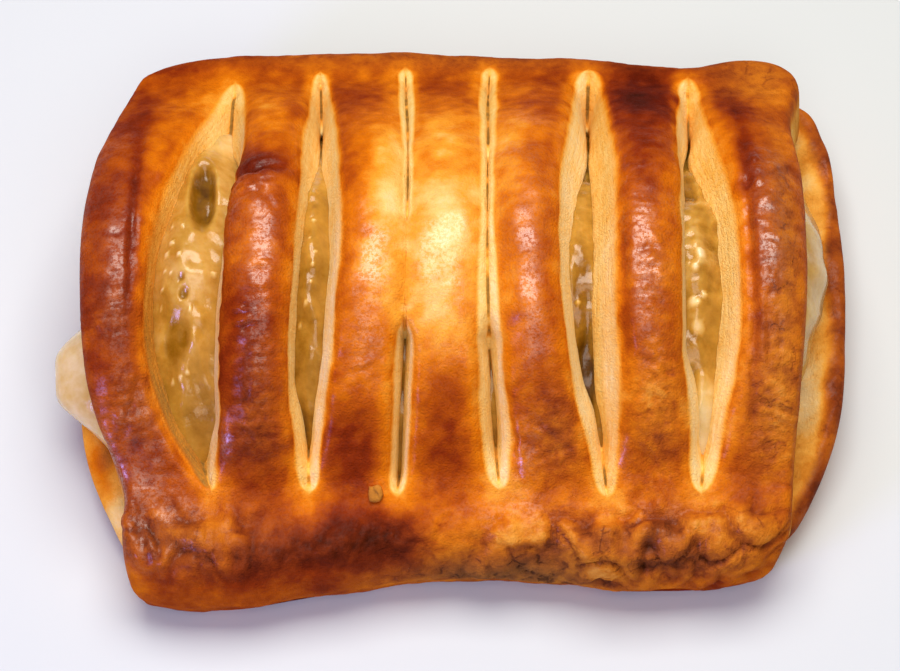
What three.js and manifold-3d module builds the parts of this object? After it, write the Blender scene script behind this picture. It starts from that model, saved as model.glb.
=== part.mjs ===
// A filled danish: a rectangular parcel of laminated dough, open at its left and right ends. The lid
// is slashed front to back by six cuts, which leave seven bands that arch over a fruit custard
// filling. Lid and base sheet are baked into one piece along the front and back rims, so the dough
// is one solid. The filling shows in every cut and at both ends, and is a second solid that runs
// through from one end to the other.
//
// Millimetres, +Z up. X runs from the left open end to the right one, Y from the front rim to the
// back one, and the parcel rests on the flat underside of its base sheet at z = 0.

import * as THREE from "three";
import { mergeVertices } from "three/addons/utils/BufferGeometryUtils.js";
import Module from "manifold-3d";

const wasm = await Module();
wasm.setup();

// ---------------------------------------------------------------- driving dimensions

const CROWN_Z = 38; // top of the middle bands
const END_DROP = 5; // how much lower the two outermost bands are
const END_DROP_FROM = 24; // where the lid begins to fall towards its ends
const END_DROP_TO = 54;
const LID_THICKNESS = 7;
const BAND_CROWN = 1.6; // how far the middle of a band stands above its cut edges
const FIT_GAP = 0.35; // between the filling and the dough around it

// The lid's outer line in the YZ plane, from the front hem over the crown to the back hem.
const HEM_Z = 2; // the lid's own hem, buried in the base sheet
const END_ROUND = 2.4; // rounding of the lid's two end edges
const LID_LINE = [
  [-42.6, HEM_Z], // front hem
  [-44.4, 8.0], // front nose
  [-41.5, 14.0], // front shoulder
  [-33.5, 16.5], // front crease, where the cuts end
  [-27.0, 23.5],
  [-19.5, 31.0],
  [-10.0, 36.2],
  [1.0, CROWN_Z],
  [12.0, 36.4],
  [22.0, 31.8],
  [31.0, 25.0],
  [37.0, 20.5], // back crease
  [43.0, 18.6], // back shoulder
  [45.6, 11.5], // back nose
  [44.2, HEM_Z], // back hem
];
const CREASE_FRONT = -33.5;
const CREASE_BACK = 37;

// Each cut: where it starts at the front and ends at the back, how far its two edges have drawn
// apart at mid length, and how far each of its walls runs in on its way down to the filling.
const CUTS = [
  { front: -34.5, back: -33.7, open: [9.6, 0.9], wall: [1.2, 0.3] },
  { front: -20.5, back: -20.5, open: [3.0, 3.6], wall: [0.4, 1.6] },
  { front: -7.3, back: -7.1, open: [0.9, 1.9], wall: [0.6, 1.5] },
  { front: 7.3, back: 6.6, open: [2.8, 1.0], wall: [1.9, 0.5] },
  { front: 22.7, back: 21.6, open: [6.2, 3.2], wall: [0.6, 3.6] },
  { front: 36.6, back: 37.7, open: [3.6, 5.0], wall: [0.4, 2.6] },
];
const CUT_LEAST = 0.5; // width left at the very end of a cut
const CUT_REACH = 1.2; // how far a cut's floor lies below the lid's underside
const CUT_END_DEPTH = 2.2; // depth of a cut where it reaches the rims
const CUT_RUNOUT = 3.5; // and how far it runs on into them as it dies out

// Lines of the open ends, as [y, x] from front to back.
const LID_LEFT = [
  [-48, -46.5],
  [-33, -49.5],
  [-20, -53.6],
  [-5, -55.6],
  [10, -54.8],
  [22, -52.2],
  [32, -48.8],
  [48, -46],
];
const LID_RIGHT = [
  [-48, 46],
  [-33, 49],
  [-20, 51.8],
  [-6, 52.8],
  [14, 52.6],
  [31, 51],
  [48, 46],
];
const BASE_LEFT = [
  [-48, -46],
  [-34, -49.6],
  [-22, -54.2],
  [-8, -56],
  [8, -54.6],
  [28, -49],
  [48, -45.5],
];
const BASE_RIGHT = [
  [-48, 42],
  [-38, 49],
  [-20, 57.8],
  [0, 60.2],
  [21, 60.2],
  [34, 58],
  [41, 54],
  [48, 47],
];

// The rims wander: how far the front and back hems lie from a straight line, as [x, shift in y].
const FRONT_WAVE = [
  [-52, 0],
  [-46, -2.2],
  [-36, -3.8],
  [-20, -1.4],
  [0, 1.4],
  [16, 0.6],
  [30, -0.6],
  [42, 0.4],
  [54, 5],
];
const BACK_WAVE = [
  [-54, -5],
  [-44, -2.2],
  [-34, -0.6],
  [0, -0.2],
  [20, -1],
  [38, -2.8],
  [46, -1.2],
  [58, -4],
];

// The base sheet, whose ends curl up into lips.
const BASE_THICKNESS = 5.5;
const BASE_FRONT = -42.8;
const BASE_BACK = 44.6;
const BASE_ROUND = 1.3; // how much its front and back edges are rounded off
const LIP_RISE = 5.5;
const LIP_STARTS = 0.8; // as a share of the way from the middle to the end
const LIP_THICKNESS = 4.2;
const LIP_ROUND = 1.2; // rounding of a lip's edge

// How fully each lip has curled up, as [y, share of the rise]: the left one is flat at both
// corners, and the right one runs into the back rim.
const LIP_LEFT = [
  [-42, 0],
  [-28, 0.55],
  [-12, 1],
  [8, 0.9],
  [26, 0.3],
  [36, 0],
];
const LIP_RIGHT = [
  [-42, 0],
  [-30, 0.5],
  [-12, 1],
  [24, 1.1],
  [44, 1.2],
];

// The filling: a loaf between base sheet and lid that ends near the lid's own ends, with a swell
// pushed out at each of them.
const CAVITY_FRONT = -31.5;
const CAVITY_BACK = 35;
const CAVITY_END = 64; // the cavity is open at the ends and runs past everything
const LOAF_PAST_LEFT = -1.5; // how far the loaf ends outside the lid's edge, or inside if negative
const LOAF_PAST_RIGHT = 1.2;
const LOAF_CORNER = 5; // how far its corners are drawn in
const SWELLS = [
  { at: [-53.4, -11.8, 12.6], radii: [6.6, 8.2, 4.8] },
  { at: [53.0, 3.0, 13.6], radii: [4.6, 20.0, 4.0] },
];

// How finely the solids are faceted.
const BAND_STATIONS = 5;
const RIM_ROWS = 5;
const ARCH_ROWS = 22;
const RIM_SHARE = 0.22; // of the lid line's points that lie on each rim
const BASE_STATIONS = 23;
const BASE_ROWS = 12;
const CAVITY_STATIONS = 19;
const CAVITY_ROWS = 14;
const LOAF_OUTLINE_POINTS = 14;
const LINE_SAMPLES = 80;

// ---------------------------------------------------------------- shape functions

const { clamp, lerp, smoothstep } = THREE.MathUtils;

// A smooth function of one variable through the points [input, output], held level past its ends.
function through(points) {
  const curve = new THREE.SplineCurve(points.map((p) => new THREE.Vector2(...p)));
  const samples = curve.getPoints(LINE_SAMPLES);
  return (v) => {
    const i = samples.findIndex((p) => p.x >= v);
    if (i === 0) return samples[0].y;
    if (i < 0) return samples.at(-1).y;
    const [a, b] = [samples[i - 1], samples[i]];
    return lerp(a.y, b.y, (v - a.x) / (b.x - a.x));
  };
}

const lidLeft = through(LID_LEFT);
const lidRight = through(LID_RIGHT);
const baseLeft = through(BASE_LEFT);
const baseRight = through(BASE_RIGHT);
const lipLeft = through(LIP_LEFT);
const lipRight = through(LIP_RIGHT);
const frontWave = through(FRONT_WAVE);
const backWave = through(BACK_WAVE);

// The part of the lid line that is a height over depth, from the front nose to the back nose.
const lidHeight = through(LID_LINE.slice(1, -1));

// How far along the cuts depth y lies, from 0 at the front crease to 1 at the back one.
const alongCuts = (y) => clamp((y - CREASE_FRONT) / (CREASE_BACK - CREASE_FRONT), 0, 1);

// How far the cuts have drawn open at depth y: nothing at the creases, and soon fully.
const opening = (y) => Math.sin(Math.PI * alongCuts(y)) ** 0.7;

// How much lower the lid is at (x, y) than in the middle of its crown line.
function endDrop(x, y) {
  return END_DROP * opening(y) * smoothstep(Math.abs(x), END_DROP_FROM, END_DROP_TO);
}

// Depth y after the wander of the rims at x, which leaves everything between the creases alone.
function wander(x, y) {
  if (y < 0) return y + frontWave(x) * smoothstep(-y, -CREASE_FRONT, -BASE_FRONT);
  return y + backWave(x) * smoothstep(y, CREASE_BACK, BASE_BACK);
}

// Left and right edge of cut k at depth y, as it lies in the lid's outer face.
function cutEdges(k, y) {
  const cut = CUTS[k];
  const middle = lerp(cut.front, cut.back, alongCuts(y));
  return [
    middle - CUT_LEAST / 2 - cut.open[0] * opening(y),
    middle + CUT_LEAST / 2 + cut.open[1] * opening(y),
  ];
}

// How deep a cut is at depth y: right through the lid, and shallow where it dies out in the rims.
function cutDepth(y) {
  const past = Math.max(CREASE_FRONT - y, y - CREASE_BACK, 0);
  const fading = CUT_END_DEPTH * (1 - smoothstep(past, 0, CUT_RUNOUT));
  return lerp(fading, LID_THICKNESS + CUT_REACH, opening(y));
}

// Left and right edge of the floor of cut k at depth y, where its slanted walls have run in.
function cutFloor(k, y) {
  const [left, right] = cutEdges(k, y);
  const [leftRun, rightRun] = CUTS[k].wall;
  return [left + leftRun * opening(y), right - rightRun * opening(y)];
}

// Left and right edge of band b, counted from the left, at depth y.
function bandEdges(b, y) {
  const left = b === 0 ? lidLeft(y) : cutEdges(b - 1, y)[1];
  const right = b === CUTS.length ? lidRight(y) : cutEdges(b, y)[0];
  return [left, right];
}

// Heights of the base sheet's underside and of its top at share s (-1 to 1) of the way to an end.
function baseHeights(s, y) {
  const curl = s < 0 ? lipLeft(y) : lipRight(y);
  const lip = smoothstep(Math.abs(s), LIP_STARTS, 1) * Math.max(curl, 0);
  return [LIP_RISE * lip, lerp(BASE_THICKNESS, LIP_RISE + LIP_THICKNESS, lip)];
}

// ---------------------------------------------------------------- solids from rings of points

// A closed mesh: each ring is joined to the next, and the two end rings are closed. A ring that is
// a top row followed by the same number of points back along the bottom is closed by a ladder
// between the two, and any other by a fan round its own middle.
function loft(rings, ladder = false) {
  const count = rings[0].length;
  const positions = rings.flat(2);
  const indices = [];
  for (let i = 0; i < rings.length - 1; i += 1) {
    for (let j = 0; j < count; j += 1) {
      const a = i * count + j;
      const b = i * count + ((j + 1) % count);
      indices.push(a, b, b + count, a, b + count, a + count);
    }
  }
  const add = (triangle, reversed) => indices.push(...(reversed ? triangle.toReversed() : triangle));
  const rungs = (i, reversed) => {
    for (let j = 0; j < count / 2 - 1; j += 1) {
      const [top, bottom] = [i * count + j, (i + 1) * count - 1 - j];
      add([top, top + 1, bottom], reversed);
      add([top + 1, bottom - 1, bottom], reversed);
    }
  };
  const fan = (i, reversed) => {
    const hub = positions.length / 3;
    const sum = rings[i].reduce((total, p) => total.map((v, n) => v + p[n]), [0, 0, 0]);
    positions.push(...sum.map((v) => v / count));
    for (let j = 0; j < count; j += 1) {
      add([hub, i * count + j, i * count + ((j + 1) % count)], reversed);
    }
  };
  const close = ladder ? rungs : fan;
  close(0, true);
  close(rings.length - 1, false);
  const geometry = new THREE.BufferGeometry();
  geometry.setAttribute("position", new THREE.Float32BufferAttribute(positions, 3));
  geometry.setIndex(indices);
  return geometry;
}

// A geometry as a solid with its faces turned outwards.
function solid(geometry) {
  geometry.deleteAttribute("normal");
  geometry.deleteAttribute("uv");
  const merged = mergeVertices(geometry, 1e-4);
  const vertProperties = new Float32Array(merged.attributes.position.array);
  const triVerts = new Uint32Array(merged.index.array);
  const made = new wasm.Manifold(new wasm.Mesh({ numProp: 3, vertProperties, triVerts }));
  if (made.volume() > 0) return made;
  return new wasm.Manifold(
    new wasm.Mesh({ numProp: 3, vertProperties, triVerts: triVerts.reverse() }),
  );
}

function geometryOf(made) {
  const mesh = made.getMesh();
  const geometry = new THREE.BufferGeometry();
  geometry.setAttribute("position", new THREE.Float32BufferAttribute(mesh.vertProperties, 3));
  geometry.setIndex(Array.from(mesh.triVerts));
  geometry.computeVertexNormals();
  return geometry;
}

// Evenly spaced numbers from a to b, both included.
const spread = (a, b, count) => Array.from({ length: count }, (_, i) => lerp(a, b, i / (count - 1)));

// ---------------------------------------------------------------- lid

// The lid as a block, from its outer face down into the base sheet. Its rings stand across the
// bands from left to right, and between two bands a pair of rings drops in, as the floor of a cut.
function lidSolid() {
  const line = new THREE.SplineCurve(LID_LINE.map((p) => new THREE.Vector2(...p)));
  const shares = [
    ...spread(0, RIM_SHARE, RIM_ROWS + 1),
    ...spread(RIM_SHARE, 1 - RIM_SHARE, ARCH_ROWS + 1).slice(1, -1),
    ...spread(1 - RIM_SHARE, 1, RIM_ROWS + 1),
  ];
  const outer = shares.map((share) => line.getPoint(share));
  const [front, back] = [outer[0].x, outer.at(-1).x];
  const under = spread(back, front, 5).slice(1, -1);

  // One ring: xAt gives its x at a depth, and depthAt how far it lies below the lid line.
  const ring = (xAt, depthAt, inset = 0) => [
    ...outer.map(({ x: y, y: z }) => {
      const x = xAt(y);
      const height = Math.max(z - depthAt(y) - endDrop(x, y), HEM_Z);
      return [x, wander(x, y * (1 - inset / back)), height];
    }),
    ...under.map((y) => {
      const x = xAt(y);
      return [x, y, HEM_Z + baseHeights(x / (x < 0 ? baseLeft : baseRight)(y), y)[0]];
    }),
  ];

  const rings = [];
  for (let band = 0; band <= CUTS.length; band += 1) {
    const edge = [band === 0 ? END_ROUND : 0, band === CUTS.length ? END_ROUND : 0];
    for (const across of spread(0, 1, BAND_STATIONS)) {
      const dip = BAND_CROWN * (2 * across - 1) ** 4;
      const xAt = (y) => {
        const [left, right] = bandEdges(band, y);
        return lerp(left + edge[0], right - edge[1], across);
      };
      rings.push(ring(xAt, (y) => dip * opening(y)));
    }
    if (band === CUTS.length) break;
    const floor = (y) => BAND_CROWN * opening(y) + cutDepth(y);
    rings.push(ring((y) => cutFloor(band, y)[0], floor), ring((y) => cutFloor(band, y)[1], floor));
  }
  const rounded = (y) => BAND_CROWN * opening(y) + END_ROUND;
  rings.unshift(ring(lidLeft, rounded, END_ROUND));
  rings.push(ring(lidRight, rounded, END_ROUND));
  return solid(loft(rings));
}

// ---------------------------------------------------------------- base sheet

function baseSolid() {
  const depths = spread(BASE_FRONT, BASE_BACK, BASE_ROWS);
  const [front, back] = [BASE_FRONT + BASE_ROUND, BASE_BACK - BASE_ROUND];
  const rows = [BASE_FRONT, front, ...depths.slice(1, -1), back, BASE_BACK];
  const ring = (s, past = 0, edge = 0) => {
    const end = s < 0 ? baseLeft : baseRight;
    const point = (y, side) => {
      const x = Math.abs(s) * end(y) + Math.sign(s) * past;
      const atRim = y === BASE_FRONT || y === BASE_BACK;
      const rounding = (edge + (atRim ? BASE_ROUND : 0)) * (side === 0 ? 1 : -1);
      return [x, wander(x, y), baseHeights(s, y)[side] + rounding];
    };
    return [...rows.map((y) => point(y, 1)), ...rows.toReversed().map((y) => point(y, 0))];
  };
  const rings = [
    ring(-1, LIP_ROUND, LIP_ROUND),
    ...spread(-1, 1, BASE_STATIONS).map((s) => ring(s)),
    ring(1, LIP_ROUND, LIP_ROUND),
  ];
  return solid(loft(rings, true));
}

// ---------------------------------------------------------------- cavity and filling

// The space between base sheet and lid, drawn in by gap on every side.
function loafSolid(gap) {
  const rows = spread(CAVITY_FRONT + gap, CAVITY_BACK - gap, CAVITY_ROWS);
  const rings = spread(-CAVITY_END, CAVITY_END, CAVITY_STATIONS).map((x) => {
    const floor = (y) => {
      const end = x < 0 ? baseLeft(y) : baseRight(y);
      return baseHeights(Math.min(1, x / end), y)[1] + gap;
    };
    const roof = (y) => {
      const under = lidHeight(y) - BAND_CROWN * opening(y) - endDrop(x, y) - LID_THICKNESS;
      return Math.max(under - gap, floor(y) + 1);
    };
    return [...rows.map((y) => [x, y, roof(y)]), ...rows.toReversed().map((y) => [x, y, floor(y)])];
  });
  return solid(loft(rings, true));
}

// A tall block over the loaf's outline, whose ends follow the open ends of the lid.
function loafTrim() {
  const depths = spread(CAVITY_FRONT, CAVITY_BACK, LOAF_OUTLINE_POINTS);
  const drawnIn = (y) => LOAF_CORNER * (1 - opening(y)) ** 2;
  const left = depths.map((y) => new THREE.Vector2(lidLeft(y) - LOAF_PAST_LEFT + drawnIn(y), y));
  const right = depths.map((y) => new THREE.Vector2(lidRight(y) + LOAF_PAST_RIGHT - drawnIn(y), y));
  const outline = new THREE.Shape([...left, ...right.toReversed()]);
  return solid(new THREE.ExtrudeGeometry(outline, { depth: CROWN_Z, bevelEnabled: false }));
}

// The filling's swell at an open end, grown by gap.
function swellSolid(swell, gap) {
  const ball = new THREE.SphereGeometry(1, 20, 12);
  ball.scale(...swell.radii.map((r) => r + gap));
  ball.translate(...swell.at);
  return solid(ball);
}

// ---------------------------------------------------------------- the parcel

let dough = lidSolid().add(baseSolid());
dough = dough.subtract(loafSolid(0));
for (const swell of SWELLS) dough = dough.subtract(swellSolid(swell, FIT_GAP));

let custard = loafSolid(FIT_GAP).intersect(loafTrim());
for (const swell of SWELLS) custard = custard.add(swellSolid(swell, 0));

const crust = new THREE.Mesh(
  geometryOf(dough),
  new THREE.MeshStandardMaterial({ color: 0xb0601c, roughness: 0.42, metalness: 0 }),
);
crust.name = "crust";

const filling = new THREE.Mesh(
  geometryOf(custard),
  new THREE.MeshStandardMaterial({ color: 0xdcc07a, roughness: 0.25, metalness: 0 }),
);
filling.name = "filling";

const parcel = new THREE.Group();
parcel.add(crust, filling);

// The origin is the middle of the parcel's own box, on the table.
const box = new THREE.Box3().setFromObject(parcel);
const middle = box.getCenter(new THREE.Vector3());
for (const mesh of parcel.children) mesh.geometry.translate(-middle.x, -middle.y, -box.min.z);

export default parcel;
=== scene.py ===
"""A filled danish in metres: a base sheet, a custard filling and a slashed, arched lid of laminated
dough, with one crumb stuck to its front rim. X runs from the left open end to the right one, Y from
the front rim to the back one, and it rests on z = 0. Sizes below are in millimetres until a mesh is
made."""

import math

import bpy
import numpy as np
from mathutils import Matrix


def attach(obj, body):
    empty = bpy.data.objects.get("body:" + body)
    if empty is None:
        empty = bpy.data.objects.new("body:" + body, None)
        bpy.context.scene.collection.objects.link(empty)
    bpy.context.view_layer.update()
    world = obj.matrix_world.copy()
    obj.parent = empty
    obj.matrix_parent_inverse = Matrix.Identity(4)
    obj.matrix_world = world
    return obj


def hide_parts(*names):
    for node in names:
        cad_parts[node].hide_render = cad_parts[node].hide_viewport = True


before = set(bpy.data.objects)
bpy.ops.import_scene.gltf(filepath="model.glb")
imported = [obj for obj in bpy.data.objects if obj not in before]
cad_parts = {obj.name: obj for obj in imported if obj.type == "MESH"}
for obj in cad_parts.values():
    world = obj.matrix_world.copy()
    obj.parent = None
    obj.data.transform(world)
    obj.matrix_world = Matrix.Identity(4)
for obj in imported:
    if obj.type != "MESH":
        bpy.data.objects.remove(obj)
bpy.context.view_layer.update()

# ---------------------------------------------------------------- base sheet
# The bottom sheet of laminated dough. It is rolled out flat, carries the filling, and is pressed to
# the lid along the front and back rims. Its two ends are free, and have curled up in the oven.

MM = 0.001
BASE_GRID = (230, 190)
BASE_THICKNESS = 5.6
BASE_FRONT = -41.2
BASE_BACK = 46.0
CREASE_FRONT = -32.1
CREASE_BACK = 38.4
LIP_THICKNESS = 4.0
BASE_CORNER = 4.5
LIP_STARTS = 0.80
CORNER_ROUND = (22, 10)
BASE_EDGE_ROUND = 24
# The outlines of its two ends as (y, x), how far their lips have curled up as (y, rise), and how the
# two rims wander in depth as (x, wander).
BASE_LEFT = [
    (-48, -45.0), (-40, -48.4), (-34, -51.0), (-22, -55.8), (-8, -57.2), (8, -55.8), (28, -50.6),
    (48, -46.8),
]
BASE_RIGHT = [(-48, 43), (-38, 49), (-20, 57.6), (0, 60.3), (21, 60.3), (34, 58.8), (41, 56.2), (48, 50)]
LIP_LEFT = [(-42, 0), (-28, 2.6), (-12, 5.5), (8, 5), (26, 1.5), (36, 0)]
LIP_RIGHT = [(-42, 0), (-30, 3), (-12, 6.5), (24, 7), (44, 7)]
FRONT_WAVE = [
    (-52, 0), (-46, -2.2), (-36, -3.8), (-20, -1.4), (0, 1.4), (16, 0.6), (30, -0.6), (42, 0.4), (54, 5),
]
BACK_WAVE = [(-54, -5), (-44, -2.2), (-34, -0.6), (0, -0.2), (20, -1), (38, -2.8), (46, -1.2), (58, -4)]
# Where its upper face is paler or browner: x, y, half width, half length and how much.
BASE_BROWNING = [(54.5, -6, 3.2, 28, -0.16), (-52.5, -22, 2.0, 3.6, 0.26), (-50.5, -31, 2.2, 4.0, -0.22)]


def through(points, at):
    """A smooth line through (input, output) points: a cubic between neighbours whose slope at each
    point is that of the two beside it, held level past the ends."""
    x, y = np.array(points, float).T
    slope = np.gradient(y, x)
    i = np.clip(np.searchsorted(x, at) - 1, 0, len(x) - 2)
    step = x[i + 1] - x[i]
    t = np.clip((at - x[i]) / step, 0, 1)
    start = (2 * t**3 - 3 * t**2 + 1) * y[i] + (t**3 - 2 * t**2 + t) * step * slope[i]
    end = (3 * t**2 - 2 * t**3) * y[i + 1] + (t**3 - t**2) * step * slope[i + 1]
    return start + end


def ease(low, high, value):
    """0 below low and 1 above high, with a smooth rise between."""
    t = np.clip((value - low) / (high - low), 0, 1)
    return t * t * (3 - 2 * t)


def mixed(first, second, share):
    """first going over into second by a share from 0 to 1."""
    return first + (second - first) * share


def spot(x, y, middle_x, middle_y, wide, long, steep=2):
    """A soft oval patch, 1 in its middle: a bell curve across it, and one with a flatter top along it
    where steep is more than 2."""
    return np.exp(-(((x - middle_x) / wide) ** 2) - ((y - middle_y) / long) ** steep)


def swell(places, length, seed):
    """Even, unrepeating unevenness with a spread of 1: a sum of plane waves about one length long
    that run in all directions."""
    waves = 28
    dice = np.random.default_rng(seed)
    way = dice.normal(size=(waves, 3))
    way /= np.linalg.norm(way, axis=1, keepdims=True)
    way *= 2 * math.pi / (length * dice.uniform(0.6, 1.5, (waves, 1)))
    start = dice.uniform(0, 2 * math.pi, waves)
    return np.cos(places @ way.T + start).sum(-1) / math.sqrt(waves / 2)


def facing(places):
    """Unit normals of a grid of places (rows, ..., columns, 3): the cross product of its slopes
    along columns and along rows."""
    across = np.gradient(places, axis=-2)
    along = np.gradient(places, axis=0)
    normal = np.cross(across, along)
    return normal / np.maximum(np.linalg.norm(normal, axis=-1, keepdims=True), 1e-9)


def wander(x, y):
    """Depth y after the wander of the front and back rims at x, nothing between the creases."""
    front = through(FRONT_WAVE, x) * ease(-CREASE_FRONT, -BASE_FRONT, -y)
    back = through(BACK_WAVE, x) * ease(CREASE_BACK, BASE_BACK, y)
    return y + front + back


def quads(index):
    """The four corners of every cell of a grid of corner numbers, turned to face up."""
    cells = [index[:-1, :-1], index[:-1, 1:], index[1:, 1:], index[1:, :-1]]
    return np.stack(cells, axis=-1).reshape(-1, 4)


def closed_sheet(top, bottom):
    """Corners and faces of a closed piece between two grids of places that share their rims."""
    rows, columns = top.shape[:2]
    upper = np.arange(rows * columns).reshape(rows, columns)
    lower = upper.copy()
    lower[1:-1, 1:-1] = rows * columns + np.arange((rows - 2) * (columns - 2)).reshape(rows - 2, -1)
    corners = np.concatenate([top.reshape(-1, 3), bottom[1:-1, 1:-1].reshape(-1, 3)])
    return corners, np.concatenate([quads(upper), quads(lower)[:, ::-1]])


def both_sides(top, bottom):
    """A mark given on the top and bottom grids, in the order of closed_sheet's corners."""
    return np.concatenate([top.ravel(), bottom[1:-1, 1:-1].ravel()])


def placed(name, data):
    """A new object of the scene with the given data."""
    made = bpy.data.objects.new(name, data)
    bpy.context.scene.collection.objects.link(made)
    return made


def piece(name, corners, faces, marks, material, replaces):
    """Makes a smooth mesh from corners in millimetres, puts its marks on them as attributes, and
    fixes it to the frame in place of a CAD node."""
    mesh = bpy.data.meshes.new(name)
    mesh.from_pydata((corners * MM).tolist(), [], [list(face) for face in faces])
    for label, values in marks.items():
        mesh.attributes.new(label, "FLOAT", "POINT").data.foreach_set("value", values.astype(np.float32))
    mesh.shade_smooth()
    mesh.materials.append(material)
    made = placed(name, mesh)
    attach(made, "root")
    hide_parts(replaces)


def colour(code):
    """A colour written as red, green and blue in hexadecimal, as the shader's linear values."""
    parts = np.array([(code >> shift & 255) / 255 for shift in (16, 8, 0)])
    linear = np.where(parts <= 0.04045, parts / 12.92, ((parts + 0.055) / 1.055) ** 2.4)
    return (*linear.tolist(), 1.0)


def node(tree, kind, inputs=None, **settings):
    """Adds a shader node with its settings. An input that is another node's socket is linked, and
    any other value is set."""
    made = tree.nodes.new("ShaderNode" + kind)
    for name, value in settings.items():
        setattr(made, name, value)
    for name, value in (inputs or {}).items():
        if isinstance(value, bpy.types.NodeSocket):
            tree.links.new(value, made.inputs[name])
        else:
            made.inputs[name].default_value = value
    return made


def material_of(name, values):
    """A new material, its nodes and its shader, with values set on the shader's sockets."""
    made = bpy.data.materials.new(name)
    made.use_nodes = True
    shader = made.node_tree.nodes["Principled BSDF"]
    for socket, value in values.items():
        shader.inputs[socket].default_value = value
    return made, made.node_tree, shader


def mark(tree, name):
    """A mark of the mesh as a value between 0 and 1."""
    return node(tree, "Attribute", attribute_name=name).outputs["Fac"]


def added(tree, first, second):
    """The sum of two values, or of a value and a number."""
    return node(tree, "Math", {0: first, 1: second}).outputs[0]


def times(tree, first, second):
    """The product of two values, or of a value and a number."""
    return node(tree, "Math", {0: first, 1: second}, operation="MULTIPLY").outputs[0]


def ranged(tree, value, given, taken=(0.0, 1.0)):
    """A value stretched from the given range to the taken one, and held inside it."""
    ends = {"From Min": given[0], "From Max": given[1], "To Min": taken[0], "To Max": taken[1]}
    return node(tree, "MapRange", {"Value": value, **ends}).outputs[0]


def grain(tree, where, size, detail=4.0, rough=0.55):
    """Noise from 0 to 1 whose lumps are about size millimetres across."""
    inputs = {"Vector": where, "Scale": 1 / (size * MM), "Detail": detail, "Roughness": rough}
    return node(tree, "TexNoise", inputs).outputs["Fac"]


def graded(tree, value, stops):
    """A colour ramp through (place, colour code) stops."""
    ramp = node(tree, "ValToRGB", {"Fac": value})
    elements = ramp.color_ramp.elements
    while len(elements) < len(stops):
        elements.new(0.5)
    for element, (place, code) in zip(elements, stops):
        element.position = place
        element.color = colour(code)
    return ramp.outputs["Color"]


def blended(tree, share, first, second):
    """One colour going over into another by a share from 0 to 1."""
    return node(tree, "Mix", {"Factor": share, 6: first, 7: second}, data_type="RGBA").outputs[2]


DOUGH_SHADER = {"Coat Roughness": 0.3, "Coat IOR": 1.86, "Specular IOR Level": 0.02}
DOUGH_MARKS = ("Browning", "Cut", "Leaf", "Wash", "Flaky")
CRUST_STOPS = [(0.0, 0xFBE3AC), (0.14, 0xFFD27C), (0.28, 0xFBA834), (0.42, 0xE27A0A), (0.56, 0xB95409),
               (0.70, 0x8C3009), (0.84, 0x641A06), (1.0, 0x3C1004)]
DRY_STOPS = [(0.0, 0xF5DCAA), (0.25, 0xE2A856), (0.45, 0xC07A2C), (0.6, 0x965C2A), (0.8, 0x6C4224),
             (1.0, 0x401C0A)]
CUT_STOPS = [(0.0, 0xFFEEBC), (0.14, 0xFFDC8E), (0.28, 0xF8C05C), (0.42, 0xDC9838), (0.6, 0xA27C3E),
             (0.8, 0x6A5020)]


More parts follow.
